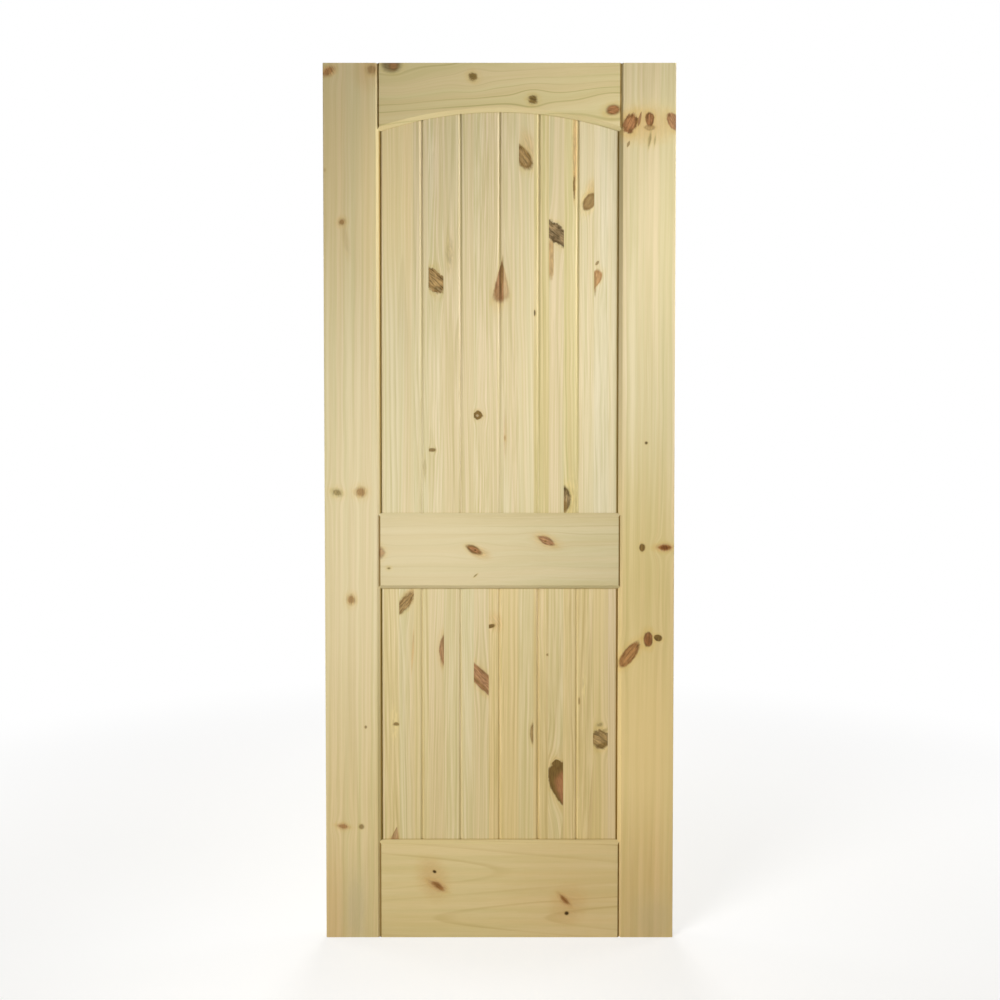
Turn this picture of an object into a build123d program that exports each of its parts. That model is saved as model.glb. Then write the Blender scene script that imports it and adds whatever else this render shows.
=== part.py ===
# Panel door leaf of solid pine: two stiles and three rails, coped and moulded on both faces, round two
# V-grooved panels glued up from narrow staves. The upper panel has an arched head.
# Frame: X across the leaf from the hinge edge, Y from the front face to the back with zero at mid-thickness,
# Z up from the bottom edge. All sizes are in millimetres.
import os
from math import sqrt

from build123d import *

os.makedirs("parts", exist_ok=True)

# Leaf
leaf_width = 812.8
leaf_height = 2032.0
leaf_thickness = 34.925
arris_radius = 1.5

# Frame members, each measured out to the lip of its moulding
stile_width = 129.5
crown_depth = 109.0
arch_rise = 44.0
lock_rail_base = 821.0
lock_rail_width = 176.0
bottom_rail_width = 228.6

# Moulding: a flat bevel that ends in a square lip, and the plough behind it that takes panels and tenons
bevel_width = 8.0
lip_depth = 2.0
plough_depth = 15.0
tenon_end_gap = 1.0

# Panels
panel_thickness = 16.0
panel_slip = 0.15
panel_swell_gap = 3.0

# V grooves on both panel faces: a row about the middle of the leaf and one along each stile
groove_width = 9.0
groove_depth = 3.2
groove_pitch = 90.5
groove_pairs = 2

# Staves: the seam nearest the middle of the leaf lies a little to the lock side, and no strip narrower than the
# narrowest is glued on at a side
stave_width = 34.925
narrowest_stave = 8.0
seam_offset = 9.8

# Worked out from the sizes above
face_y = leaf_thickness / 2
middle_x = leaf_width / 2
plough_width = panel_thickness + 2 * panel_slip
bevel_depth = face_y - plough_width / 2 - lip_depth
opening_left = stile_width
opening_right = leaf_width - stile_width
opening_width = opening_right - opening_left

rail_left = opening_left - plough_depth + tenon_end_gap
rail_length = leaf_width - 2 * rail_left
lock_rail_top = lock_rail_base + lock_rail_width

arch_radius = opening_width**2 / (8 * arch_rise) + arch_rise / 2
crown_z = leaf_height - crown_depth
spring_z = crown_z - arch_rise
arch_axis = Axis((middle_x, 0, crown_z - arch_radius), (0, 1, 0))

tongue = plough_depth - panel_swell_gap
panel_left = opening_left - tongue
panel_right = opening_right + tongue
panel_width = panel_right - panel_left
upper_panel_base = lock_rail_top - plough_depth
lower_panel_base = bottom_rail_width - plough_depth
lower_panel_top = lock_rail_base + tongue
panel_arch_radius = arch_radius + tongue
panel_shoulder_z = crown_z - arch_radius + sqrt(panel_arch_radius**2 - (panel_width / 2) ** 2)

# Section that the moulding cutter takes off a square edge; X runs into the member, Y across its thickness
with BuildSketch() as moulding:
    with BuildLine():
        Polyline((0, face_y), (bevel_width, face_y), (0, face_y - bevel_depth), close=True)
    make_face()
    mirror(about=Plane.XZ)
    with Locations((plough_depth / 2, 0)):
        Rectangle(plough_depth, plough_width)

# Section taken off a rail's end at the hinge stile, which leaves a stub tenon: the shoulder lies on the lower
# half of the stile's bevel, and a bevel of its own on the rail makes a V with the upper half
with BuildSketch() as cope:
    with BuildLine():
        Polyline(
            (rail_left, face_y),
            (opening_left, face_y),
            (opening_left - bevel_width / 2, face_y - bevel_depth / 2),
            (opening_left, face_y - bevel_depth),
            (opening_left, panel_thickness / 2),
            (rail_left, panel_thickness / 2),
            close=True,
        )
    make_face()
    mirror(about=Plane.XZ)

# Both ends of a rail
with BuildSketch() as copes:
    add(cope.sketch)
    mirror(about=Plane.YZ.offset(middle_x))

# Stiles
with BuildPart() as hinge_stile:
    with BuildSketch(Plane.XY) as stile_section:
        with Locations((stile_width / 2, 0)):
            Rectangle(stile_width, leaf_thickness)
        fillet(stile_section.vertices().group_by(Axis.X)[0], arris_radius)
        with Locations((stile_width, 0)):
            add(moulding.sketch, rotation=180, mode=Mode.SUBTRACT)
    extrude(amount=leaf_height)

with BuildPart() as lock_stile:
    mirror(hinge_stile.part, about=Plane.YZ.offset(middle_x))

# Top rail: the moulding is turned about the centre of the arch
with BuildPart() as top_rail:
    with BuildSketch(Plane.XZ):
        with Locations((middle_x, (spring_z + leaf_height) / 2)):
            Rectangle(rail_length, leaf_height - spring_z)
        with Locations((middle_x, crown_z - arch_radius)):
            Circle(arch_radius, mode=Mode.SUBTRACT)
    extrude(amount=face_y, both=True)
    with BuildSketch(Plane(origin=(middle_x, 0, crown_z), x_dir=(0, 0, 1), z_dir=(1, 0, 0))):
        add(moulding.sketch)
    revolve(axis=arch_axis, mode=Mode.SUBTRACT)
    with BuildSketch(Plane.XY.offset(spring_z)):
        add(copes.sketch)
    extrude(amount=leaf_height - spring_z, mode=Mode.SUBTRACT)

# Lock rail: moulded along its upper and lower edges
with BuildPart() as lock_rail:
    with BuildSketch(Plane.XZ):
        with Locations((middle_x, (lock_rail_base + lock_rail_top) / 2)):
            Rectangle(rail_length, lock_rail_width)
    extrude(amount=face_y, both=True)
    with BuildSketch(Plane(origin=(rail_left, 0, lock_rail_top), x_dir=(0, 0, -1), z_dir=(1, 0, 0))):
        add(moulding.sketch)
    extrude(amount=rail_length, mode=Mode.SUBTRACT)
    with BuildSketch(Plane(origin=(rail_left, 0, lock_rail_base), x_dir=(0, 0, 1), z_dir=(1, 0, 0))):
        add(moulding.sketch)
    extrude(amount=rail_length, mode=Mode.SUBTRACT)
    with BuildSketch(Plane.XY.offset(lock_rail_base)):
        add(copes.sketch)
    extrude(amount=lock_rail_width, mode=Mode.SUBTRACT)

# Bottom rail: moulded along its upper edge
with BuildPart() as bottom_rail:
    with BuildSketch(Plane.XZ):
        with Locations((middle_x, bottom_rail_width / 2)):
            Rectangle(rail_length, bottom_rail_width)
    extrude(amount=face_y, both=True)
    with BuildSketch(Plane(origin=(rail_left, 0, bottom_rail_width), x_dir=(0, 0, -1), z_dir=(1, 0, 0))):
        add(moulding.sketch)
    extrude(amount=rail_length, mode=Mode.SUBTRACT)
    with BuildSketch(Plane.XY):
        add(copes.sketch)
    extrude(amount=bottom_rail_width, mode=Mode.SUBTRACT)

# Section of the V grooves on both faces of a panel
groove_centres = [middle_x + step * groove_pitch for step in range(-groove_pairs, groove_pairs + 1)]
groove_centres += [opening_left, opening_right]
panel_face_y = panel_thickness / 2
with BuildSketch() as grooves:
    for groove_x in groove_centres:
        with BuildLine():
            Polyline(
                (groove_x - groove_width / 2, panel_face_y),
                (groove_x, panel_face_y - groove_depth),
                (groove_x + groove_width / 2, panel_face_y),
                close=True,
            )
        make_face()
    mirror(about=Plane.XZ)

# Panels, glued up and grooved: each stands in the plough below it, with room to swell at its sides and head
with BuildPart() as upper_panel:
    with BuildSketch(Plane.XZ):
        with BuildLine():
            Polyline(
                (panel_left, panel_shoulder_z),
                (panel_left, upper_panel_base),
                (panel_right, upper_panel_base),
                (panel_right, panel_shoulder_z),
            )
            ThreePointArc(
                (panel_right, panel_shoulder_z), (middle_x, crown_z + tongue), (panel_left, panel_shoulder_z)
            )
        make_face()
    extrude(amount=panel_thickness / 2, both=True)
    with BuildSketch(Plane.XY.offset(upper_panel_base)):
        add(grooves.sketch)
    extrude(amount=leaf_height, mode=Mode.SUBTRACT)

with BuildPart() as lower_panel:
    with BuildSketch(Plane.XZ):
        with Locations((middle_x, (lower_panel_base + lower_panel_top) / 2)):
            Rectangle(panel_width, lower_panel_top - lower_panel_base)
    extrude(amount=panel_thickness / 2, both=True)
    with BuildSketch(Plane.XY.offset(lower_panel_base)):
        add(grooves.sketch)
    extrude(amount=leaf_height, mode=Mode.SUBTRACT)

# Frame members are written out
hinge_stile.part.label = "hinge_stile"
export_step(hinge_stile.part, "parts/hinge_stile.step")
lock_stile.part.label = "lock_stile"
export_step(lock_stile.part, "parts/lock_stile.step")
top_rail.part.label = "top_rail"
export_step(top_rail.part, "parts/top_rail.step")
lock_rail.part.label = "lock_rail"
export_step(lock_rail.part, "parts/lock_rail.step")
bottom_rail.part.label = "bottom_rail"
export_step(bottom_rail.part, "parts/bottom_rail.step")

# Staves: each panel is parted along its glue seams, numbered from the hinge side
first_seam = middle_x + seam_offset
seams_to_left = int((first_seam - panel_left - narrowest_stave) / stave_width)
seams_to_right = int((panel_right - first_seam - narrowest_stave) / stave_width)
seams = [first_seam + step * stave_width for step in range(-seams_to_left, seams_to_right + 1)]
stave_edges = [panel_left, *seams, panel_right]

for panel_name, panel in (("upper", upper_panel), ("lower", lower_panel)):
    for number, (left, right) in enumerate(zip(stave_edges, stave_edges[1:]), start=1):
        with BuildPart() as stave:
            add(panel.part)
            with BuildSketch(Plane.XY):
                with Locations(((left + right) / 2, 0)):
                    Rectangle(right - left, leaf_thickness)
            extrude(amount=leaf_height, mode=Mode.INTERSECT)
        stave.part.label = f"{panel_name}_stave_{number:02d}"
        export_step(stave.part, f"parts/{panel_name}_stave_{number:02d}.step")
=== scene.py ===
import random
from math import pi, radians

import bpy
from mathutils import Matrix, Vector

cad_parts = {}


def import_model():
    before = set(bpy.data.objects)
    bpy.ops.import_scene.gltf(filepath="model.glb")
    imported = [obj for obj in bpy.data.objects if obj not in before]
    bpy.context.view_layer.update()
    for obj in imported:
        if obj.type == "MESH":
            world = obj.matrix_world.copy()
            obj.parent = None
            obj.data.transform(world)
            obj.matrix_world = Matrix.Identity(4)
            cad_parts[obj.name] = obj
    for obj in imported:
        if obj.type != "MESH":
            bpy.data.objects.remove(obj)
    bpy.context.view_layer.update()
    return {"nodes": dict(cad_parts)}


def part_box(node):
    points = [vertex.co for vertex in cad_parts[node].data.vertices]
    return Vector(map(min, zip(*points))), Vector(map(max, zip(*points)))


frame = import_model()

# Looks of a pine door leaf. Every solid keeps its shape and gets a pine of its own: growth rings about
# the heart of its log, fibre, tone and knots, all in the solid, so each face and end shows its own cut.
# Knots and boards are set out in millimetres: x from the hinge edge, z up from the foot, seen from the front.

MILLIMETRES = 1000.0
FACE_Y = -17.46
PANEL_FACE_Y = -8.0


class Graph:
    """One node tree being drawn up: each method adds a node and gives back its output."""

    def __init__(self, tree):
        self.tree = tree

    def node(self, kind, **settings):
        made = self.tree.nodes.new(kind)
        for name, value in settings.items():
            setattr(made, name, value)
        return made

    def feed(self, socket, value):
        if isinstance(value, bpy.types.NodeSocket):
            self.tree.links.new(value, socket)
        else:
            socket.default_value = value

    def math(self, operation, *values, clamp=False):
        made = self.node("ShaderNodeMath", operation=operation, use_clamp=clamp)
        for socket, value in zip(made.inputs, values):
            self.feed(socket, value)
        return made.outputs[0]

    def add(self, a, b):
        return self.math("ADD", a, b)

    def less(self, a, b):
        return self.math("SUBTRACT", a, b)

    def times(self, a, b):
        return self.math("MULTIPLY", a, b)

    def over(self, a, b):
        return self.math("DIVIDE", a, b)

    def ramp(self, value, low, high, to_low=0.0, to_high=1.0):
        """Smooth step of value from low to high."""
        made = self.node("ShaderNodeMapRange", interpolation_type="SMOOTHSTEP")
        for name, given in (
            ("Value", value),
            ("From Min", low),
            ("From Max", high),
            ("To Min", to_low),
            ("To Max", to_high),
        ):
            self.feed(made.inputs[name], given)
        return made.outputs["Result"]

    def vector(self, x, y, z):
        made = self.node("ShaderNodeCombineXYZ")
        for socket, value in zip(made.inputs, (x, y, z)):
            self.feed(socket, value)
        return made.outputs[0]

    def parts(self, vector):
        made = self.node("ShaderNodeSeparateXYZ")
        self.feed(made.inputs[0], vector)
        return made.outputs

    def scaled(self, vector, scale):
        made = self.node("ShaderNodeVectorMath", operation="SCALE")
        self.feed(made.inputs[0], vector)
        self.feed(made.inputs["Scale"], scale)
        return made.outputs[0]

    def noise(self, vector, detail=2.0, roughness=0.5):
        made = self.node("ShaderNodeTexNoise")
        self.feed(made.inputs["Vector"], vector)
        made.inputs["Scale"].default_value = 1.0
        self.feed(made.inputs["Detail"], detail)
        self.feed(made.inputs["Roughness"], roughness)
        return made.outputs

    def mix(self, factor, first, second, blend="MIX"):
        made = self.node("ShaderNodeMix", data_type="RGBA", blend_type=blend)
        for name, given in (("Factor_Float", factor), ("A_Color", first), ("B_Color", second)):
            socket = next(s for s in made.inputs if s.identifier == name)
            self.feed(socket, given)
        return next(s for s in made.outputs if s.identifier == "Result_Color")

    def group(self, tree, **given):
        """A group node with its inputs fed by name; an underscore stands for a space."""
        made = self.node("ShaderNodeGroup")
        made.node_tree = tree
        for name, value in given.items():
            self.feed(made.inputs[name.replace("_", " ")], value)
        return made.outputs


def new_group(name, inputs, outputs):
    """An empty node group; the inputs and outputs are 'float' or 'colour' by name."""
    kinds = {"float": "NodeSocketFloat", "colour": "NodeSocketColor"}
    tree = bpy.data.node_groups.new(name, "ShaderNodeTree")
    for title, kind in inputs.items():
        tree.interface.new_socket(name=title, in_out="INPUT", socket_type=kinds[kind])
    for title, kind in outputs.items():
        tree.interface.new_socket(name=title, in_out="OUTPUT", socket_type=kinds[kind])
    graph = Graph(tree)
    taken = graph.node("NodeGroupInput").outputs
    given = graph.node("NodeGroupOutput").inputs
    return tree, graph, taken, given


def pine_figure():
    """Growth rings about the log's heart, streaks and fibres along the grain, and broad bands of tone.
    Each figure changes so fast per millimetre across and along the grain."""
    bend_across = 0.004
    bend_along = 0.0016
    curl_across = 0.03
    curl_along = 0.007
    fade_across = 0.012
    fade_along = 0.003
    streak_along = 0.0011
    fibre_across = 0.7
    fibre_along = 0.006
    band_across = 0.045
    band_depth = 0.03
    band_along = 0.0006
    year_change = 0.37
    year_drift = 1.3
    autumn_full = 0.92
    autumn_fades = 0.94
    faintest = 0.3
    tree, g, taken, given = new_group(
        "pine figure",
        {
            "Across": "float",
            "Depth": "float",
            "Along": "float",
            "Heart across": "float",
            "Heart depth": "float",
            "Lean across": "float",
            "Lean depth": "float",
            "Ring": "float",
            "Line start": "float",
            "Wander": "float",
            "Curl": "float",
            "Swell": "float",
            "Swell at": "float",
            "Swell length": "float",
            "Streak scale": "float",
            "Seed": "float",
        },
        {"Late": "float", "Streak": "float", "Fibre": "float", "Band": "float"},
    )
    across = taken["Across"]
    depth = taken["Depth"]
    along = taken["Along"]
    seed = taken["Seed"]
    slow_along = g.add(g.times(along, bend_along), seed)
    slow = g.vector(g.times(across, bend_across), g.times(depth, bend_across), slow_along)
    bend = g.parts(g.noise(slow, detail=1.0, roughness=0.4)["Color"])
    heart_across = g.add(taken["Heart across"], g.times(along, taken["Lean across"]))
    heart_depth = g.add(taken["Heart depth"], g.times(along, taken["Lean depth"]))
    small_along = g.add(g.times(along, curl_along), seed)
    small = g.vector(g.times(across, curl_across), g.times(depth, curl_across), small_along)
    curl = g.times(g.less(g.noise(small, detail=1.0)["Fac"], 0.5), taken["Curl"])
    swing = g.math("SINE", g.over(g.times(g.less(across, taken["Swell at"]), 2 * pi), taken["Swell length"]))
    side = g.add(g.less(across, heart_across), g.times(g.less(bend[0], 0.5), taken["Wander"]))
    side = g.add(side, curl)
    back = g.add(g.less(depth, heart_depth), g.times(g.less(bend[1], 0.5), taken["Wander"]))
    back = g.less(back, g.times(swing, taken["Swell"]))
    radius = g.math("SQRT", g.add(g.times(side, side), g.times(back, back)))
    year = g.over(radius, taken["Ring"])
    uneven = g.noise(g.vector(g.times(year, year_change), seed, 0.0), detail=1.0)["Fac"]
    year = g.add(year, g.times(uneven, year_drift))
    season = g.math("FRACT", year)
    autumn = g.times(g.ramp(season, taken["Line start"], autumn_full), g.ramp(season, 1.0, autumn_fades))
    which = g.math("FLOOR", year)
    strength = g.node("ShaderNodeTexWhiteNoise", noise_dimensions="2D")
    g.feed(strength.inputs["Vector"], g.vector(which, seed, 0.0))
    strong = g.ramp(strength.outputs["Value"], 0.0, 1.0, faintest, 1.0)
    fade_at = g.vector(g.times(across, fade_across), seed, g.times(along, fade_along))
    fade = g.ramp(g.noise(fade_at)["Fac"], 0.3, 0.65, faintest, 1.0)
    g.feed(given["Late"], g.times(autumn, g.times(strong, fade)))
    fine = taken["Streak scale"]
    streak_at = g.vector(g.times(side, fine), g.times(back, fine), g.add(g.times(along, streak_along), seed))
    g.feed(given["Streak"], g.noise(streak_at, detail=3.0, roughness=0.5)["Fac"])
    fibre_run = g.add(g.times(along, fibre_along), seed)
    fibre_at = g.vector(g.times(side, fibre_across), g.times(back, fibre_across), fibre_run)
    g.feed(given["Fibre"], g.noise(fibre_at, detail=2.0, roughness=0.6)["Fac"])
    band_run = g.add(g.times(along, band_along), seed)
    band_at = g.vector(g.times(side, band_across), g.times(back, band_depth), band_run)
    g.feed(given["Band"], g.noise(band_at, detail=2.0)["Fac"])
    return tree


def knot_shape():
    """How far a place lies from a knot's middle, 1 at its outline, and how far the grain is pushed there.
    A branch rises as it runs into the wood, and the grain flows round it."""
    branch_rise = 0.22
    narrowest = 0.06
    edge_along = 0.11
    edge_across = 0.16
    edge_seed = 0.137
    flow_length = 1.5
    flow_width = 1.9
    push_share = 0.85
    streak_along = 0.05
    streak_across = 0.32
    streak_seed = 0.071
    blotch_along = 0.06
    blotch_across = 0.10
    blotch_seed = 0.091
    tree, g, taken, given = new_group(
        "knot shape",
        {
            "Across": "float",
            "Depth": "float",
            "Along": "float",
            "Place across": "float",
            "Place along": "float",
            "Half along": "float",
            "Half across": "float",
            "Turn": "float",
            "Round": "float",
            "Taper": "float",
            "Ragged": "float",
            "Flow": "float",
        },
        {"Reach": "float", "Push": "float", "Streak": "float", "Blotch": "float"},
    )
    lifted = g.less(g.less(taken["Along"], taken["Place along"]), g.times(taken["Depth"], branch_rise))
    aside = g.less(taken["Across"], taken["Place across"])
    cosine = g.math("COSINE", taken["Turn"])
    sine = g.math("SINE", taken["Turn"])
    u = g.add(g.times(lifted, cosine), g.times(aside, sine))
    v = g.less(g.times(aside, cosine), g.times(lifted, sine))
    u_part = g.math("POWER", g.math("ABSOLUTE", g.over(u, taken["Half along"])), taken["Round"])
    narrowing = g.less(1.0, g.times(taken["Taper"], g.over(u, taken["Half along"])))
    half_across = g.times(taken["Half across"], g.math("MAXIMUM", narrowing, narrowest))
    v_part = g.math("POWER", g.math("ABSOLUTE", g.over(v, half_across)), taken["Round"])
    clean = g.math("POWER", g.add(u_part, v_part), g.over(1.0, taken["Round"]))
    edge_own = g.times(taken["Place along"], edge_seed)
    edge_at = g.vector(g.times(u, edge_along), g.times(v, edge_across), edge_own)
    edge = g.noise(edge_at, detail=3.0, roughness=0.6)["Fac"]
    g.feed(given["Reach"], g.add(clean, g.times(g.less(edge, 0.5), taken["Ragged"])))
    half_flow = g.add(g.times(taken["Half along"], flow_length), taken["Half across"])
    flow_along = g.over(lifted, g.times(half_flow, taken["Flow"]))
    flow_across = g.over(aside, g.times(g.times(taken["Half across"], flow_width), taken["Flow"]))
    flow = g.add(g.times(flow_along, flow_along), g.times(flow_across, flow_across))
    hold = g.math("EXPONENT", g.times(flow, -1.0))
    g.feed(given["Push"], g.times(aside, g.times(hold, push_share)))
    streak_own = g.times(taken["Place across"], streak_seed)
    streak_at = g.vector(g.times(u, streak_along), g.times(v, streak_across), streak_own)
    g.feed(given["Streak"], g.noise(streak_at, detail=3.0, roughness=0.6)["Fac"])
    blotch_own = g.times(taken["Place along"], blotch_seed)
    blotch_at = g.vector(g.times(u, blotch_along), g.times(v, blotch_across), blotch_own)
    g.feed(given["Blotch"], g.noise(blotch_at, detail=4.0, roughness=0.6)["Fac"])
    return tree


def knot_colour():
    """Wood colour with one knot laid in: stained wood about it, and a blotched body with a rim colour."""
    stain_full = 0.9
    stain_patches = 0.7
    stain_least = 0.3
    rim_from = 0.45
    rim_full = 0.95
    rim_share = 0.85
    streak_share = 0.5
    darkest = 0.3
    tree, g, taken, given = new_group(
        "knot colour",
        {
            "Wood": "colour",
            "Reach": "float",
            "Streak": "float",
            "Blotch": "float",
            "Heart": "colour",
            "Rim": "colour",
            "Stain": "colour",
            "Depth": "float",
            "Soft": "float",
            "Contrast": "float",
            "Halo": "float",
        },
        {"Colour": "colour", "Mask": "float"},
    )
    reach = taken["Reach"]
    patchy = g.ramp(taken["Blotch"], 0.3, 0.7)
    patches = g.add(g.times(patchy, stain_patches), stain_least)
    stain = g.times(g.ramp(reach, taken["Halo"], stain_full), patches)
    stained = g.mix(g.times(stain, taken["Depth"]), taken["Wood"], taken["Stain"], blend="MULTIPLY")
    rim = g.ramp(reach, rim_from, rim_full, 0.0, rim_share)
    darker = g.math("ADD", rim, g.times(g.less(patchy, 0.5), taken["Contrast"]), clamp=True)
    body = g.mix(darker, taken["Heart"], taken["Rim"])
    lively = g.ramp(taken["Streak"], 0.25, 0.75, -1.0, 1.0)
    swing = g.times(lively, g.times(taken["Contrast"], streak_share))
    tone = g.math("MAXIMUM", g.add(1.0, swing), darkest)
    toned = g.mix(1.0, body, g.vector(tone, tone, tone), blend="MULTIPLY")
    mask = g.times(g.ramp(reach, g.add(1.0, taken["Soft"]), g.less(1.0, taken["Soft"])), taken["Depth"])
    g.feed(given["Colour"], g.mix(mask, stained, toned))
    g.feed(given["Mask"], mask)
    return tree


FIGURE = pine_figure()
KNOT_SHAPE = knot_shape()
KNOT_COLOUR = knot_colour()


def shade(red, green, blue):
    """A colour given as it shows on a screen, 0 to 255, turned into light."""

    def light(value):
        part = value / 255
        return part / 12.92 if part <= 0.04045 else ((part + 0.055) / 1.055) ** 2.4

    return (light(red), light(green), light(blue), 1.0)


# Tones of pine: wood grown in spring, wood grown in autumn, and the tone its broad bands drift to
TONES = {
    "pale": (shade(209, 198, 160), shade(184, 169, 124), shade(211, 195, 156)),
    "light": (shade(213, 201, 163), shade(187, 172, 127), shade(214, 199, 160)),
    "cream": (shade(213, 203, 170), shade(193, 179, 137), shade(217, 204, 169)),
    "oat": (shade(201, 189, 149), shade(174, 158, 112), shade(201, 186, 145)),
    "straw": (shade(208, 196, 156), shade(181, 166, 119), shade(210, 194, 155)),
    "butter": (shade(209, 196, 148), shade(176, 164, 108), shade(210, 193, 146)),
    "honey": (shade(210, 194, 150), shade(177, 153, 99), shade(209, 195, 152)),
    "toast": (shade(213, 194, 145), shade(175, 145, 90), shade(211, 193, 147)),
    "blush": (shade(213, 195, 157), shade(183, 159, 111), shade(214, 196, 159)),
}

# Kinds of knot: its heart, its rim, and what it stains the wood about it with
KNOT_KINDS = {
    "red": (shade(160, 113, 72), shade(116, 80, 44), (0.97, 0.88, 0.70, 1.0)),
    "brown": (shade(156, 128, 82), shade(122, 95, 54), (0.97, 0.90, 0.74, 1.0)),
    "olive": (shade(150, 128, 88), shade(106, 86, 48), (0.97, 0.92, 0.76, 1.0)),
    "dark": (shade(118, 92, 46), shade(110, 85, 42), (0.96, 0.88, 0.72, 1.0)),
    "black": (shade(64, 46, 18), shade(106, 82, 40), (0.94, 0.86, 0.70, 1.0)),
    "torn": (shade(136, 114, 80), shade(84, 66, 38), (0.97, 0.92, 0.78, 1.0)),
    "tan": (shade(182, 143, 98), shade(155, 118, 74), (0.98, 0.92, 0.78, 1.0)),
    "umber": (shade(164, 124, 86), shade(138, 100, 64), (0.98, 0.90, 0.76, 1.0)),
    "flesh": (shade(166, 116, 76), shade(148, 102, 64), (1.0, 1.0, 1.0, 1.0)),
    "peg": (shade(120, 98, 52), shade(140, 117, 70), (0.97, 0.90, 0.76, 1.0)),
    "russet": (shade(164, 120, 72), shade(136, 96, 54), (0.98, 0.88, 0.70, 1.0)),
    "ember": (shade(114, 70, 28), shade(140, 96, 50), (0.97, 0.86, 0.66, 1.0)),
    "lichen": (shade(138, 121, 84), shade(120, 106, 70), (0.98, 0.94, 0.82, 1.0)),
    "smudge": (shade(154, 122, 78), shade(186, 160, 112), (0.98, 0.91, 0.78, 1.0)),
    "moss": (shade(148, 130, 84), shade(184, 168, 120), (0.98, 0.93, 0.80, 1.0)),
    "rust": (shade(156, 110, 66), shade(192, 156, 106), (0.98, 0.90, 0.74, 1.0)),
    "pitch": (shade(198, 162, 110), shade(196, 160, 108), (1.0, 0.95, 0.84, 1.0)),
    "glow": (shade(218, 199, 140), shade(216, 197, 140), (1.0, 1.0, 0.98, 1.0)),
    "core": (shade(206, 190, 156), shade(196, 178, 138), (1.0, 1.0, 1.0, 1.0)),
    "weather": (shade(188, 174, 136), shade(196, 181, 138), (1.0, 1.0, 1.0, 1.0)),
    "resin": (shade(182, 150, 100), shade(178, 146, 96), (1.0, 1.0, 1.0, 1.0)),
    "sallow": (shade(210, 186, 134), shade(208, 184, 132), (1.0, 1.0, 1.0, 1.0)),
    "bleach": (shade(240, 227, 182), shade(240, 227, 182), (1.0, 1.0, 1.0, 1.0)),
    "peach": (shade(238, 211, 150), shade(238, 211, 150), (1.0, 1.0, 1.0, 1.0)),
    "milk": (shade(219, 204, 168), shade(219, 204, 168), (1.0, 1.0, 1.0, 1.0)),
}


# Patches of another tone in the wood, which its grain runs straight through
GRAIN_RUNS_THROUGH = ("glow", "pitch", "core", "weather", "resin", "sallow", "milk", "peach", "bleach")

# The colour turns a deeper yellow towards the foot of the leaf
AMBER = (1.06, 0.97, 0.73, 1.0)
AMBER_RUN = {"amber_from": 1050.0, "amber_to": 150.0}

# Ends are darker than faces. A rail's end, seen in its joint with a stile, is darker still: end grain,
# with painted shade for the shadow in the joint's crevice
END_GRAIN = (0.84, 0.77, 0.65, 1.0)
JOINT_END_AND_CREVICE_SHADE = (0.38, 0.30, 0.17, 1.0)

# Painted shade where the panels meet the frame, on the panels and on the hinge stile's lip, for the shadow
# in the crevice there: where it starts and where it is deepest, in millimetres from the opening's edge
PAINTED_GAP_SHADE = (0.60, 0.48, 0.24, 1.0)
GAP_AT_SIDES = (6.0, 1.5)
GAP_AT_ENDS = (3.0, 0.5)
GAP_LEFT = 128.4
GAP_RIGHT = 682.4
OPENING_LEFT = 129.5
OPENING_RIGHT = 683.3
ARCH_CENTRE_Z = 1029.71
ARCH_RADIUS = 893.29
UPPER_OPENING = {"arched": True, "foot": 997.0, "end_gap": 0.15}
LOWER_OPENING = {"arched": False, "foot": 228.6, "head": 821.0, "end_gap": 0.6}


def knot(x, z, wide, tall, lean=0.0, kind="brown", **more):
    """One knot: its middle, its width and height over all, and how far its top leans right in degrees.
    More says how round it is (1 a diamond, 2 an oval, 4 squarish), how much narrower its top is than its
    foot, how ragged and how soft its edge is, how lively its body, how far its stain reaches, how strong it
    shows, and how far the grain flows round it."""
    return {
        "x": x,
        "z": z,
        "wide": wide,
        "tall": tall,
        "lean": lean,
        "kind": kind,
        "round": 2.0,
        "taper": 0.0,
        "ragged": 0.35,
        "soft": 0.16,
        "contrast": 0.6,
        "halo": 1.9,
        "depth": 1.0,
        "flow": 0.7,
        **more,
    }


def wash(x, z, wide, tall, kind, depth, soft=0.9):
    """A broad soft patch of another tone."""
    return knot(x, z, wide, tall, kind=kind, depth=depth, soft=soft, ragged=0.1, contrast=0.0)


def opening_distance(g, x, z, opening):
    """How far a place on a panel lies inside the opening in the frame, in millimetres, by side and end."""
    sides = g.math("MINIMUM", g.less(x, GAP_LEFT), g.less(GAP_RIGHT, x))
    foot = g.less(z, opening["foot"])
    if not opening["arched"]:
        return sides, g.math("MINIMUM", foot, g.less(opening["head"], z))
    arm = g.less(z, ARCH_CENTRE_Z)
    reach = g.less(x, (OPENING_LEFT + OPENING_RIGHT) / 2)
    head = g.less(ARCH_RADIUS, g.math("SQRT", g.add(g.times(arm, arm), g.times(reach, reach))))
    return sides, g.math("MINIMUM", foot, head)


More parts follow.
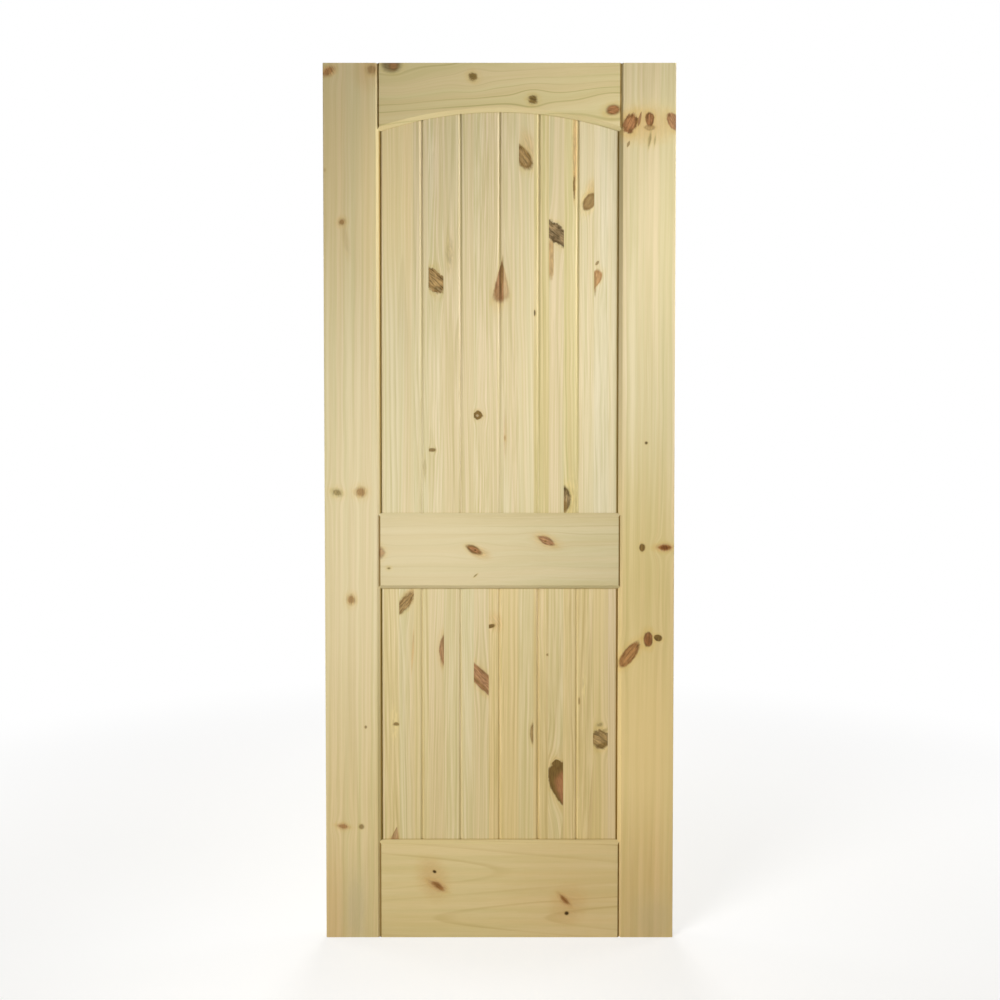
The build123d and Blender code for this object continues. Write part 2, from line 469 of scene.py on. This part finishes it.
def pine(
    name, grain, face_y, heart, lean, ring, tone, seed, knots=(), opening=None, lip_painted_shade=None, **more
):
    """Pine for one piece; grain is 'up' or 'across', heart is where the log's middle lies in x or z, and how
    far behind the face."""
    streak_darker = 0.12
    streak_lighter = 0.10
    fibre_darker = 0.05
    fibre_lighter = 0.04
    smoothest = 0.5
    fibre_rough = 0.18
    end_rough = 0.15
    fibre_height = 0.5
    ring_height = 0.6
    bump_strength = 0.3
    bump_depth = 0.0003
    gloss = 0.2
    look = {
        "lines": 0.4,
        "thin": 0.5,
        "wander": 10.0,
        "fine": 0.3,
        "streaks": 0.6,
        "amber": 0.0,
        "curl": 0.0,
        "swell": 0.0,
        "swell_at": 0.0,
        "swell_length": 200.0,
        **AMBER_RUN,
        **more,
    }
    material = bpy.data.materials.new(name)
    material.use_nodes = True
    material.node_tree.nodes.clear()
    g = Graph(material.node_tree)
    coordinates = g.node("ShaderNodeTexCoord").outputs
    x, y, z = g.parts(g.scaled(coordinates["Object"], MILLIMETRES))
    depth = g.less(y, face_y)
    upright = grain == "up"
    along, across = (z, x) if upright else (x, z)
    shapes = []
    free_across = across
    for one in knots:
        shape = g.group(
            KNOT_SHAPE,
            Across=across,
            Depth=depth,
            Along=along,
            Place_across=one["x"] if upright else one["z"],
            Place_along=one["z"] if upright else one["x"],
            Half_along=(one["tall"] if upright else one["wide"]) / 2,
            Half_across=(one["wide"] if upright else one["tall"]) / 2,
            Turn=radians(one["lean"] if upright else -one["lean"]),
            Round=one["round"],
            Taper=one["taper"],
            Ragged=one["ragged"],
            Flow=one["flow"],
        )
        shapes.append((one, shape))
        if one["kind"] not in GRAIN_RUNS_THROUGH:
            free_across = g.less(free_across, g.times(shape["Push"], one["depth"]))
    figure = g.group(
        FIGURE,
        Across=free_across,
        Depth=depth,
        Along=along,
        Heart_across=heart[0],
        Heart_depth=heart[1],
        Lean_across=lean[0],
        Lean_depth=lean[1],
        Ring=ring,
        Line_start=look["thin"],
        Wander=look["wander"],
        Curl=look["curl"],
        Swell=look["swell"],
        Swell_at=look["swell_at"],
        Swell_length=look["swell_length"],
        Streak_scale=look["fine"],
        Seed=seed,
    )
    spring, autumn, drift = TONES[tone]
    early = g.mix(g.ramp(figure["Band"], 0.38, 0.62), spring, drift)
    colour = g.mix(g.times(figure["Late"], look["lines"]), early, autumn)
    deep = look["streaks"]
    streak_tones = (1.0 - streak_darker * deep, 1.0 + streak_lighter * deep)
    fibre_tones = (1.0 - fibre_darker * deep, 1.0 + fibre_lighter * deep)
    streak = g.ramp(figure["Streak"], 0.25, 0.75, *streak_tones)
    fibre = g.ramp(figure["Fibre"], 0.25, 0.75, *fibre_tones)
    worn = g.times(streak, fibre)
    colour = g.mix(1.0, colour, g.vector(worn, worn, g.times(worn, worn)), blend="MULTIPLY")
    footward = g.ramp(z, look["amber_from"], look["amber_to"], 0.0, look["amber"])
    colour = g.mix(footward, colour, AMBER, blend="MULTIPLY")
    hard = 0.0
    for one, shape in shapes:
        heart_colour, rim, stain = KNOT_KINDS[one["kind"]]
        laid = g.group(
            KNOT_COLOUR,
            Wood=colour,
            Reach=shape["Reach"],
            Streak=shape["Streak"],
            Blotch=shape["Blotch"],
            Heart=heart_colour,
            Rim=rim,
            Stain=stain,
            Depth=one["depth"],
            Soft=one["soft"],
            Contrast=one["contrast"],
            Halo=one["halo"],
        )
        colour = laid["Colour"]
        hard = g.math("MAXIMUM", hard, laid["Mask"])
    facing = g.parts(coordinates["Normal"])["Z" if upright else "X"]
    end = g.ramp(g.math("ABSOLUTE", facing), 0.35, 0.62)
    # Darker end grain; on the rails' ends this is also painted shade for the crevice in the joint with a
    # stile
    colour = g.mix(end, colour, END_GRAIN if upright else JOINT_END_AND_CREVICE_SHADE, blend="MULTIPLY")
    # Painted shade along the panel's sides and ends, for the shadow in the crevice where it meets the frame
    if opening:
        sides, ends = opening_distance(g, x, z, opening)
        beside = g.ramp(sides, *GAP_AT_SIDES)
        above = g.times(g.ramp(ends, *GAP_AT_ENDS), opening["end_gap"])
        colour = g.mix(g.math("MAXIMUM", beside, above), colour, PAINTED_GAP_SHADE, blend="MULTIPLY")
    # Painted shade on the stile's lip beside the panels, for the shadow in the crevice there
    if lip_painted_shade is not None:
        from_lip = g.less(OPENING_LEFT, x)
        colour = g.mix(g.ramp(from_lip, *lip_painted_shade), colour, PAINTED_GAP_SHADE, blend="MULTIPLY")
    face_rough = g.add(g.times(figure["Fibre"], fibre_rough), smoothest)
    rough = g.add(face_rough, g.times(end, end_rough))
    raised = g.add(g.times(figure["Late"], ring_height), hard)
    height = g.add(g.times(figure["Fibre"], fibre_height), raised)
    bump = g.node("ShaderNodeBump")
    bump.inputs["Strength"].default_value = bump_strength
    bump.inputs["Distance"].default_value = bump_depth
    g.feed(bump.inputs["Height"], height)
    shader = g.node("ShaderNodeBsdfPrincipled")
    shader.inputs["Specular IOR Level"].default_value = gloss
    g.feed(shader.inputs["Base Color"], colour)
    g.feed(shader.inputs["Roughness"], rough)
    g.feed(shader.inputs["Normal"], bump.outputs["Normal"])
    output = g.node("ShaderNodeOutputMaterial")
    g.feed(output.inputs["Surface"], shader.outputs["BSDF"])
    return material


def dress(name, material):
    """Puts a material on every slot of a CAD node."""
    mesh = frame["nodes"][name].data
    for index in range(len(mesh.materials)):
        mesh.materials[index] = material


# Stiles and rails
dress(
    "hinge_stile",
    pine(
        "hinge stile pine",
        "up",
        FACE_Y,
        heart=(58.0, 62.0),
        lean=(0.006, 0.004),
        ring=8.0,
        tone="straw",
        seed=1.3,
        # painted shade along the lip beside the panels
        lip_painted_shade=(3.0, 1.0),
        lines=0.4,
        curl=5.0,
        fine=0.12,
        streaks=0.8,
        amber=0.5,
        knots=(
            wash(24, 1820, 70, 560, "sallow", 0.5),
            wash(112, 1760, 60, 460, "peach", 0.3),
            wash(12, 40, 60, 260, "pitch", 0.35),
            wash(104, 2015, 60, 70, "pitch", 0.35),
            wash(60, 900, 130, 700, "milk", 0.3),
            knot(13, 2013, 34, 22, lean=-25, kind="rust", soft=0.5, contrast=0.9, depth=0.9),
            knot(113, 2017, 26, 26, kind="smudge", soft=0.45, depth=0.85),
            knot(4, 1788, 7, 9, kind="smudge", depth=0.35, soft=0.4),
            knot(43, 1669, 17, 15, lean=-35, kind="smudge", soft=0.45, halo=2.6),
            knot(52, 1628, 14, 80, lean=-8, kind="smudge", depth=0.22, soft=0.7),
            knot(29, 1045, 28, 19, lean=18, kind="moss", soft=0.5, halo=2.6, round=1.7),
            knot(84, 1046, 27, 25, kind="smudge", soft=0.4, halo=2.4),
            knot(61, 795, 20, 25, kind="smudge", soft=0.4, halo=2.4),
            knot(94, 497, 6, 7, kind="dark", soft=0.4, depth=0.7),
            knot(40, 263, 30, 15, lean=8, kind="rust", soft=0.5, round=1.4, halo=2.4, depth=0.85),
            knot(83, 262, 12, 12, kind="dark", soft=0.4, depth=0.75),
            knot(70, 70, 56, 190, kind="weather", depth=0.6, soft=0.8, ragged=0.4, contrast=0.1),
        ),
    ),
)
dress(
    "lock_stile",
    pine(
        "lock stile pine",
        "up",
        FACE_Y,
        heart=(738.0, -70.0),
        lean=(0.004, 0.007),
        ring=9.0,
        tone="straw",
        seed=2.7,
        lines=0.4,
        curl=4.0,
        fine=0.09,
        streaks=0.8,
        amber=0.85,
        amber_from=1300.0,
        amber_to=800.0,
        knots=(
            knot(748, 1895, 150, 90, kind="glow", depth=0.5, soft=0.5, ragged=0.6, contrast=0.2),
            wash(788, 1720, 110, 420, "bleach", 0.2),
            wash(760, 450, 260, 420, "peach", 0.55),
            wash(748, 90, 260, 300, "pitch", 0.3),
            knot(742, 1890, 120, 66, kind="pitch", depth=0.45, soft=0.7, ragged=0.6, contrast=0.2),
            knot(707, 1894, 31, 46, lean=24, kind="red", round=2.2, ragged=0.7, contrast=0.9, halo=2.2),
            knot(729, 1904, 6, 34, lean=12, kind="umber", round=1.5),
            knot(752, 1903, 20, 33, kind="red", taper=-0.2, contrast=0.9),
            knot(752, 1885, 25, 14, kind="brown", depth=0.65, soft=0.3, round=1.6),
            knot(806, 1899, 26, 42, lean=-25, kind="umber", contrast=1.0),
            knot(703, 1847, 6, 15, lean=20, kind="dark", round=1.5, depth=0.7),
            knot(752, 1858, 8, 46, lean=8, kind="moss", round=1.3, depth=0.8, soft=0.4),
            knot(764, 1856, 5, 34, lean=6, kind="moss", round=1.3, depth=0.6, soft=0.4),
            knot(747, 1160, 7, 7, kind="black", soft=0.35, depth=0.85),
            knot(738, 917, 14, 18, kind="dark", soft=0.25, contrast=0.9),
            knot(790, 917, 40, 18, kind="rust", soft=0.4, round=1.6, halo=2.2),
            knot(791, 917, 26, 11, kind="ember", round=1.6, soft=0.5, contrast=0.9, halo=1.4),
            knot(709, 667, 29, 72, lean=36, kind="russet", round=1.9, contrast=0.8, ragged=0.3),
            knot(753, 703, 21, 35, kind="red", round=2.2, halo=2.2),
            knot(754, 701, 14, 26, kind="ember", depth=0.6, soft=0.45, halo=1.1),
            knot(776, 706, 20, 15, lean=18, kind="dark", contrast=0.8),
            knot(770, 40, 110, 120, kind="weather", depth=0.4, soft=0.8, ragged=0.3, contrast=0.1),
        ),
    ),
)
dress(
    "top_rail",
    pine(
        "top rail pine",
        "across",
        FACE_Y,
        heart=(1826.0, 70.0),
        lean=(0.055, 0.02),
        ring=18.0,
        tone="butter",
        seed=3.1,
        lines=0.95,
        thin=0.8,
        wander=20.0,
        curl=8.0,
        fine=0.05,
        streaks=0.5,
        knots=(
            knot(158, 2027, 44, 32, kind="lichen", soft=0.4, contrast=0.6, halo=2.2, flow=1.9),
            knot(163, 2025, 20, 20, kind="red", soft=0.6, halo=1.4, depth=0.7),
            knot(
                346, 2000, 21, 18, lean=25, kind="peg",
                soft=0.35, ragged=1.2, contrast=0.8, halo=2.6, flow=1.6,
            ),
            knot(
                483, 1948, 21, 19, lean=20, kind="peg",
                soft=0.35, ragged=1.2, contrast=0.8, halo=2.6, flow=1.6,
            ),
            knot(668, 1925, 32, 23, lean=-8, kind="red", soft=0.35, contrast=0.8, halo=2.6, flow=1.9),
        ),
    ),
)
dress(
    "lock_rail",
    pine(
        "lock rail pine",
        "across",
        FACE_Y,
        heart=(700.0, 90.0),
        lean=(0.015, 0.03),
        ring=21.0,
        tone="oat",
        seed=4.9,
        lines=0.45,
        thin=0.78,
        wander=24.0,
        curl=7.0,
        fine=0.05,
        streaks=0.5,
        knots=(
            wash(240, 905, 460, 220, "milk", 0.45),
            knot(131, 905, 20, 27, kind="red", round=1.15, soft=0.4, halo=2.6, depth=0.65),
            knot(149, 869, 9, 7, kind="moss", soft=0.5, halo=3.0),
            knot(362, 904, 42, 22, lean=18, kind="pitch", depth=0.45, soft=0.7),
            knot(347, 912, 40, 18, lean=28, kind="brown", round=1.7, soft=0.3, contrast=0.8, flow=1.2),
            knot(347, 912, 32, 13, lean=26, kind="red", round=1.7, soft=0.5, halo=1.0),
            knot(350, 911, 5, 4, kind="black", soft=0.5, depth=0.8),
            knot(351, 852, 13, 4, lean=-40, kind="moss", soft=0.4),
            knot(515, 933, 62, 30, lean=20, kind="pitch", depth=0.35, soft=0.7),
            knot(515, 933, 42, 18, lean=26, kind="umber", round=1.6, soft=0.25, contrast=0.9, flow=1.2),
            knot(513, 932, 6, 4, kind="dark", soft=0.5, depth=0.8),
        ),
    ),
)
dress(
    "bottom_rail",
    pine(
        "bottom rail pine",
        "across",
        FACE_Y,
        heart=(100.0, 2500.0),
        lean=(0.0, -0.024),
        ring=9.4,
        tone="honey",
        seed=6.2,
        lines=0.55,
        thin=0.76,
        wander=7.0,
        curl=2.0,
        swell=12.0,
        swell_at=99.0,
        swell_length=220.0,
        fine=0.05,
        streaks=0.5,
        amber=0.45,
        knots=(
            wash(600, 90, 300, 240, "pitch", 0.25),
            knot(
                250, 140, 56, 84, lean=-20, kind="pitch",
                depth=0.5, soft=0.7, ragged=0.5, contrast=0.2,
            ),
            knot(254, 156, 9, 7, lean=30, kind="black", soft=0.4),
            knot(260, 123, 48, 20, lean=30, kind="rust", round=1.6, soft=0.6, ragged=0.9, depth=0.8),
            knot(
                263, 121, 30, 10, lean=40, kind="ember",
                round=1.6, soft=0.6, ragged=0.7, halo=1.2, depth=0.7,
            ),
            knot(568, 78, 64, 76, lean=20, kind="pitch", depth=0.45, soft=0.7, ragged=0.5, contrast=0.2),
            knot(559, 89, 40, 16, lean=44, kind="rust", round=1.6, soft=0.6, ragged=0.9, depth=0.8),
            knot(
                558, 90, 26, 7, lean=46, kind="ember",
                round=1.6, soft=0.6, ragged=0.7, halo=1.2, depth=0.7,
            ),
            knot(564, 57, 10, 9, kind="black", soft=0.4),
        ),
    ),
)

# Knots of the panels, by stave
STAVE_KNOTS = {
    "upper_stave_02": (wash(160, 1780, 160, 460, "peach", 0.3, soft=0.8),),
    "upper_stave_03": (wash(176, 1780, 160, 460, "peach", 0.3, soft=0.8),),
    "upper_stave_04": (knot(232, 1102, 8, 56, kind="moss", round=1.4, soft=0.5, depth=0.45),),
    "upper_stave_05": (
        knot(255, 1537, 42, 60, lean=-45, kind="brown", round=3.2, ragged=0.8, contrast=1.2, soft=0.1),
        knot(266, 1516, 24, 6, lean=40, kind="olive", soft=0.4, depth=0.8, halo=1.1),
        knot(249, 1144, 17, 8, kind="dark", round=3.0, soft=0.3, depth=0.85),
    ),
    "upper_stave_06": (knot(291, 1600, 16, 74, kind="moss", depth=0.4, soft=0.6, contrast=1.2),),
    "upper_stave_08": (
        knot(356, 1225, 25, 22, lean=8, kind="dark", round=1.35, contrast=0.5, ragged=0.5),
        knot(355, 1224, 7, 6, kind="core", round=1.6, soft=0.5, halo=1.1, depth=0.45),
    ),
    "upper_stave_09": (
        knot(412, 1534, 27, 92, kind="umber", round=3.0, taper=0.85, contrast=0.5, ragged=0.25),
        knot(402, 1507, 20, 40, lean=16, kind="brown", depth=0.25, soft=0.5, contrast=0.8, halo=1.2),
        knot(411, 1545, 9, 86, lean=4, kind="dark", round=1.6, soft=0.4, contrast=0.8, depth=0.65),
    ),
    "upper_stave_10": (
        knot(414, 1534, 21, 86, kind="tan", round=3.0, taper=0.85, depth=0.6, contrast=0.5, ragged=0.25),
        knot(419, 1180, 10, 90, kind="resin", depth=0.4, soft=0.6),
        knot(419, 1172, 5, 14, kind="smudge", depth=0.7),
    ),
    "upper_stave_11": (
        knot(474, 1850, 26, 60, lean=-20, kind="pitch", depth=0.4, soft=0.7),
        knot(462, 1821, 31, 62, lean=-28, kind="brown", round=1.9, taper=0.2, contrast=0.9, soft=0.2),
        knot(461, 1839, 5, 58, lean=-42, kind="dark", round=1.6, soft=0.4, depth=0.25, halo=1.2),
        knot(462, 1800, 24, 5, lean=12, kind="dark", round=1.8, soft=0.5, depth=0.2, halo=1.1),
    ),
    "upper_stave_12": (knot(488, 1462, 5, 14, kind="black", soft=0.35, depth=0.8),),
    "upper_stave_13": (
        knot(526, 1588, 12, 92, kind="resin", round=4.0, soft=0.25, depth=0.85),
        knot(540, 1644, 38, 104, lean=-54, kind="torn", ragged=0.9, contrast=1.3),
    ),
    "upper_stave_14": (
        knot(580, 1850, 16, 190, kind="glow", depth=0.3, soft=0.5),
        knot(581, 1834, 9, 210, kind="pitch", round=1.8, soft=0.5, depth=0.75),
        knot(579, 1752, 5, 58, kind="dark", round=1.6, ragged=1.3, soft=0.3, depth=0.8),
        knot(574, 1040, 24, 90, kind="glow", soft=0.7, depth=0.4),
        knot(556, 1030, 34, 60, kind="olive", round=1.8, contrast=1.3),
        knot(558, 1012, 14, 28, kind="dark", soft=0.5, depth=0.75, halo=1.2),
    ),
    "upper_stave_15": (
        knot(612, 1724, 40, 84, lean=20, kind="glow", depth=0.4, soft=0.7),
        knot(622, 1745, 22, 40, kind="pitch", depth=0.4, soft=0.7),
        knot(615, 1718, 27, 44, lean=32, kind="brown", round=2.0, contrast=0.45),
    ),
    "upper_stave_16": (
        knot(630, 1538, 21, 47, lean=16, kind="tan", taper=-0.6, round=1.8, contrast=0.45),
        knot(628, 1528, 6, 48, kind="brown", depth=0.7, soft=0.4, halo=1.2),
        knot(633, 1577, 6, 12, lean=35, kind="dark", depth=0.7),
    ),
    "lower_stave_02": (
        knot(160, 500, 18, 80, kind="glow", depth=0.4, soft=0.6),
        knot(164, 502, 13, 8, kind="dark", round=2.4, taper=0.3, soft=0.35, depth=0.8),
        knot(
            162, 240, 13, 38, lean=10, kind="umber",
            taper=0.9, round=3.0, contrast=0.7, ragged=0.25, depth=0.75,
        ),
    ),
    "lower_stave_03": (
        knot(205, 690, 5, 120, lean=4, kind="pitch", round=1.6, soft=0.5, depth=0.6),
        knot(197, 803, 24, 42, lean=38, kind="tan", soft=0.5, contrast=0.7, depth=0.4),
        knot(183, 784, 25, 66, lean=40, kind="brown", round=1.8, ragged=0.7, contrast=1.0, soft=0.25),
    ),
    "lower_stave_05": (
        knot(272, 650, 9, 32, kind="tan", soft=0.5, depth=0.35),
        knot(277, 676, 24, 70, kind="umber", round=1.7, contrast=0.6, depth=0.9),
        knot(278, 688, 8, 62, kind="dark", round=1.6, depth=0.6, soft=0.4, halo=1.1),
    ),
    "lower_stave_08": (
        knot(364, 608, 35, 150, lean=-45, kind="umber", ragged=0.3, contrast=0.8),
        knot(354, 605, 6, 80, lean=-42, kind="dark", round=1.7, soft=0.5, depth=0.45, halo=1.1),
    ),
    "lower_stave_09": (
        knot(396, 742, 30, 40, lean=-30, kind="pitch", depth=0.35, soft=0.7),
        knot(386, 732, 20, 9, lean=-14, kind="dark", round=2.4, soft=0.3),
    ),
    "lower_stave_11": (knot(485, 480, 14, 46, kind="brown", soft=0.3, contrast=1.0, depth=0.85),),
    "lower_stave_12": (knot(519, 665, 6, 6, kind="dark", soft=0.4, depth=0.65),),
    "lower_stave_13": (
        knot(
            555, 361, 62, 104, lean=-4, kind="dark",
            taper=-0.5, round=2.2, contrast=0.5, ragged=0.25, soft=0.08,
        ),
        knot(541, 408, 22, 20, kind="dark", round=1.5, ragged=0.5, soft=0.12),
        knot(
            563, 345, 44, 86, lean=-8, kind="flesh",
            taper=-0.4, round=2.0, contrast=0.4, soft=0.25, ragged=0.3,
        ),
    ),
    "lower_stave_15": (
        knot(593, 556, 5, 16, kind="dark", soft=0.4, depth=0.55),
        knot(604, 590, 12, 60, kind="glow", soft=0.7, depth=0.4),
    ),
    "lower_stave_16": (
        knot(641, 500, 16, 9, lean=-16, kind="moss", soft=0.5, depth=0.7),
        knot(648, 483, 40, 9, lean=-28, kind="moss", soft=0.4, depth=0.5),
        knot(643, 466, 42, 42, lean=-60, kind="brown", round=2.4, ragged=0.7, contrast=1.1, depth=0.9),
        knot(649, 451, 30, 12, lean=-20, kind="dark", soft=0.5, depth=0.7, halo=1.1),
    ),
}

# Tones of the staves from the hinge side to the lock side
STAVE_TONES = {
    "upper": (
        *("pale", "pale", "pale", "pale", "pale", "straw", "straw", "straw", "straw"),
        *("pale", "light", "butter", "pale", "butter", "light", "cream", "cream"),
    ),
    "lower": (
        *("straw", "honey", "pale", "honey", "straw", "straw", "pale", "pale", "toast"),
        *("toast", "honey", "toast", "honey", "toast", "toast", "toast", "blush"),
    ),
}
PANEL_LOOK = {
    "upper": {"opening": UPPER_OPENING, "amber": 0.0, "lines": (0.3, 0.6), "streaks": (0.7, 1.2)},
    "lower": {"opening": LOWER_OPENING, "amber": 0.38, "lines": (0.3, 0.55), "streaks": (0.65, 1.15)},
}

# Staves differ by chance: where the log's heart lies, how it leans, how wide its rings are and how they curl
STAVE_HEART_ASIDE = (15, 70)
STAVE_HEART_BEHIND = (20, 60)
STAVE_LEAN = (-0.02, 0.02)
STAVE_RING = (4.5, 8.0)
STAVE_SEED = (0, 40)
STAVE_CURL = (2, 7)
stave_random = random.Random(11)
for panel, look in PANEL_LOOK.items():
    for number, tone in enumerate(STAVE_TONES[panel], start=1):
        stave = f"{panel}_stave_{number:02d}"
        low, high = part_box(stave)
        middle = (low.x + high.x) / 2 * MILLIMETRES
        heart_side = middle + stave_random.choice((-1, 1)) * stave_random.uniform(*STAVE_HEART_ASIDE)
        heart_depth = stave_random.choice((-1, 1)) * stave_random.uniform(*STAVE_HEART_BEHIND)
        dress(
            stave,
            pine(
                stave.replace("_", " ") + " pine",
                "up",
                PANEL_FACE_Y,
                heart=(heart_side, heart_depth),
                lean=(stave_random.uniform(*STAVE_LEAN), stave_random.uniform(*STAVE_LEAN)),
                ring=stave_random.uniform(*STAVE_RING),
                tone=tone,
                seed=stave_random.uniform(*STAVE_SEED),
                knots=STAVE_KNOTS.get(stave, ()),
                opening=look["opening"],
                lines=stave_random.uniform(*look["lines"]),
                thin=0.4,
                curl=stave_random.uniform(*STAVE_CURL),
                fine=0.24,
                streaks=stave_random.uniform(*look["streaks"]),
                amber=look["amber"],
            ),
        )


def looked_at(g):
    """1 for a ray that shows its end to the eye, straight, in gloss or through glass, and 0 for one that
    only lights."""
    path = g.node("ShaderNodeLightPath").outputs
    passed_on = g.math("MAXIMUM", path["Is Glossy Ray"], path["Is Transmission Ray"])
    return g.math("MAXIMUM", path["Is Camera Ray"], passed_on)


def stage():
    """A pale floor: it takes the leaf's shadow near the foot and runs out to white far off."""
    half_floor = 14.0
    leaf_middle = 0.4064
    floor_grey = (0.45, 0.45, 0.45, 1.0)
    floor_glow = 0.59
    floor_bounce = (0.74, 0.70, 0.60, 1.0)
    shadow_reach = 0.7
    white_from = 3.0
    bpy.ops.object.select_all(action="DESELECT")
    bpy.ops.mesh.primitive_plane_add(size=2 * half_floor, location=(leaf_middle, 0.0, 0.0))
    floor = bpy.context.object
    floor.name = "floor"
    bpy.ops.object.transform_apply(location=True)
    material = bpy.data.materials.new("pale floor")
    material.use_nodes = True
    material.node_tree.nodes.clear()
    g = Graph(material.node_tree)
    place = g.parts(g.node("ShaderNodeTexCoord").outputs["Object"])
    off_centre = g.less(place["X"], leaf_middle)
    away = g.math("SQRT", g.add(g.times(off_centre, off_centre), g.times(place["Y"], place["Y"])))
    matt = g.node("ShaderNodeBsdfDiffuse")
    matt.inputs["Color"].default_value = floor_grey
    glow = g.node("ShaderNodeEmission")
    glow.inputs["Strength"].default_value = floor_glow
    lit = g.node("ShaderNodeAddShader")
    g.feed(lit.inputs[0], matt.outputs[0])
    g.feed(lit.inputs[1], glow.outputs[0])
    white = g.node("ShaderNodeEmission")
    shown = g.node("ShaderNodeMixShader")
    g.feed(shown.inputs[0], g.ramp(away, shadow_reach, white_from))
    g.feed(shown.inputs[1], lit.outputs[0])
    g.feed(shown.inputs[2], white.outputs[0])
    bright = g.node("ShaderNodeBsdfDiffuse")
    bright.inputs["Color"].default_value = floor_bounce
    seen = g.node("ShaderNodeMixShader")
    g.feed(seen.inputs[0], looked_at(g))
    g.feed(seen.inputs[1], bright.outputs[0])
    g.feed(seen.inputs[2], shown.outputs[0])
    output = g.node("ShaderNodeOutputMaterial")
    g.feed(output.inputs["Surface"], seen.outputs[0])
    floor.data.materials.append(material)


def world():
    """White where it is looked at, and a soft warm fill as light."""
    fill = 0.27
    warm = (1.0, 0.945, 0.80, 1.0)
    made = bpy.data.worlds.new("studio")
    bpy.context.scene.world = made
    made.use_nodes = True
    made.node_tree.nodes.clear()
    g = Graph(made.node_tree)
    shown = g.node("ShaderNodeBackground")
    shown.inputs["Color"].default_value = (1.0, 1.0, 1.0, 1.0)
    soft = g.node("ShaderNodeBackground")
    soft.inputs["Color"].default_value = warm
    soft.inputs["Strength"].default_value = fill
    either = g.node("ShaderNodeMixShader")
    g.feed(either.inputs[0], looked_at(g))
    g.feed(either.inputs[1], soft.outputs[0])
    g.feed(either.inputs[2], shown.outputs[0])
    output = g.node("ShaderNodeOutputWorld")
    g.feed(output.inputs["Surface"], either.outputs[0])


def soft_lamp(name, place, aim, spread, watts):
    """A square soft box with a grid, aimed at a place on the leaf."""
    bpy.ops.object.select_all(action="DESELECT")
    bpy.ops.object.light_add(type="AREA", location=place)
    lamp = bpy.context.object
    lamp.name = name
    lamp.data.shape = "SQUARE"
    lamp.data.size = 1.0
    lamp.data.spread = radians(spread)
    lamp.data.energy = watts
    lamp.rotation_euler = (Vector(aim) - Vector(place)).to_track_quat("-Z", "Y").to_euler()


stage()
world()
soft_lamp("right lamp", (1.749, -0.872, 1.628), aim=(-0.2, 0.0, 1.823), spread=82.8, watts=7.65)
soft_lamp("left lamp", (-0.841, -1.781, 1.37), aim=(0.728, 0.0, 0.257), spread=77.3, watts=8.65)
soft_lamp("low lamp", (0.5, -1.7, 0.12), aim=(0.45, 0.0, 1.85), spread=70.0, watts=1.85)
soft_lamp("back lamp", (0.4, 2.6, 1.7), aim=(0.4, 0.0, 1.0), spread=160.0, watts=26.0)
soft_lamp("head lamp", (0.4, 0.55, 3.6), aim=(0.4, 0.0, 2.03), spread=90.0, watts=2.4)
soft_lamp("hinge edge lamp", (-2.4, 1.1, 1.1), aim=(0.0, 0.0, 0.9), spread=120.0, watts=10.0)
soft_lamp("lock edge lamp", (3.2, 1.1, 1.1), aim=(0.81, 0.0, 0.9), spread=120.0, watts=10.0)

CAMERA_PLACE = (0.4076, -2.2175, 1.0826)
CAMERA_DROP = 1.429
bpy.ops.object.select_all(action="DESELECT")
bpy.ops.object.camera_add(location=CAMERA_PLACE, rotation=(radians(90 - CAMERA_DROP), 0.0, 0.0))
camera = bpy.context.object
camera.data.sensor_width = 36.0
camera.data.lens = 34.11
camera.data.clip_end = 100.0
bpy.context.scene.camera = camera
bpy.context.scene.view_settings.view_transform = "Standard"
